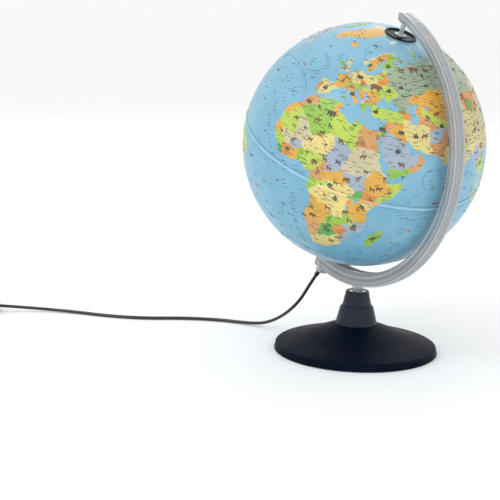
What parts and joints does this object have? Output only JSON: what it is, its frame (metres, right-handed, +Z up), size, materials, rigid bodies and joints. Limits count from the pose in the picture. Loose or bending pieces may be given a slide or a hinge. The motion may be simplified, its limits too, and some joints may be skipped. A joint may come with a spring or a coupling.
{
  "type": "illuminated desktop globe on stand",
  "caption": "Tilted political globe that spins on a clear meridian arm over a round dark plastic base, lit from inside, with a mains cord, hand switch and plug.",
  "frame": {"origin": "centre of the base's round footprint, on the plane it rests on", "axes": "+Z up; +X towards the side that the clear arm passes on, in the arm's own plane; the north pole leans towards +X"},
  "size_m": [0.6062, 0.5796, 0.4248],
  "materials": {
    "base_plastic": "satin",
    "pad_rubber": "matte",
    "clear_plastic": "gloss",
    "globe_print": "satin",
    "ring_plastic": "satin",
    "cap_black": "gloss",
    "holder_plastic": "satin",
    "steel": "satin",
    "brass": "satin",
    "bulb_metal": "satin",
    "insulator": "gloss",
    "bulb_white": "satin",
    "bulb_opal": "satin",
    "cord_pvc": "satin",
    "switch_plastic": "satin",
    "plug_plastic": "satin",
    "pin_metal": "satin"
  },
  "bodies": {
    "stand": {"base_foot": "base_plastic", "base_collar": "base_plastic", "base_neck": "base_plastic", "foot_pads": "pad_rubber", "meridian_arm": "clear_plastic", "pole_pin": "clear_plastic", "stand_post": "clear_plastic", "lamp_holder": "holder_plastic", "socket_insert": "holder_plastic", "post_screw": "steel", "post_washer": "steel", "holder_nut": "steel", "switch_screws": "steel", "socket_shell": "brass", "socket_contact": "brass", "switch_terminals": "brass", "bulb_contact": "brass", "bulb_cap": "bulb_metal", "bulb_insulator": "insulator", "bulb_body": "bulb_white", "bulb_dome": "bulb_opal", "cord_lead": "cord_pvc", "cord_tail": "cord_pvc", "cord_end": "cord_pvc", "cord_coil": "cord_pvc", "cord_grip": "cord_pvc", "switch_case_lower": "switch_plastic", "switch_case_upper": "switch_plastic", "plug_body": "plug_plastic", "plug_sleeves": "plug_plastic", "coil_tie": "plug_plastic", "plug_pins": "pin_metal"},
    "globe": {"north_hemisphere": "globe_print", "south_hemisphere": "globe_print", "equator_ring": "ring_plastic", "north_cap": "cap_black", "south_collar": "cap_black"},
    "rocker": {"switch_rocker": "switch_plastic"}
  },
  "joints": [
    {"name": "globe_spin", "type": "hinge", "parent": "stand", "child": "globe", "pos_m": [0, 0, 0.2623], "axis": [0.3987, 0, 0.9171], "continuous": true},
    {"name": "switch_rock", "type": "hinge", "parent": "stand", "child": "rocker", "pos_m": [-0.41159, -0.34586, 0.0127], "axis": [0.8988, -0.4384, 0], "range_deg": [0, 12]}
  ]
}
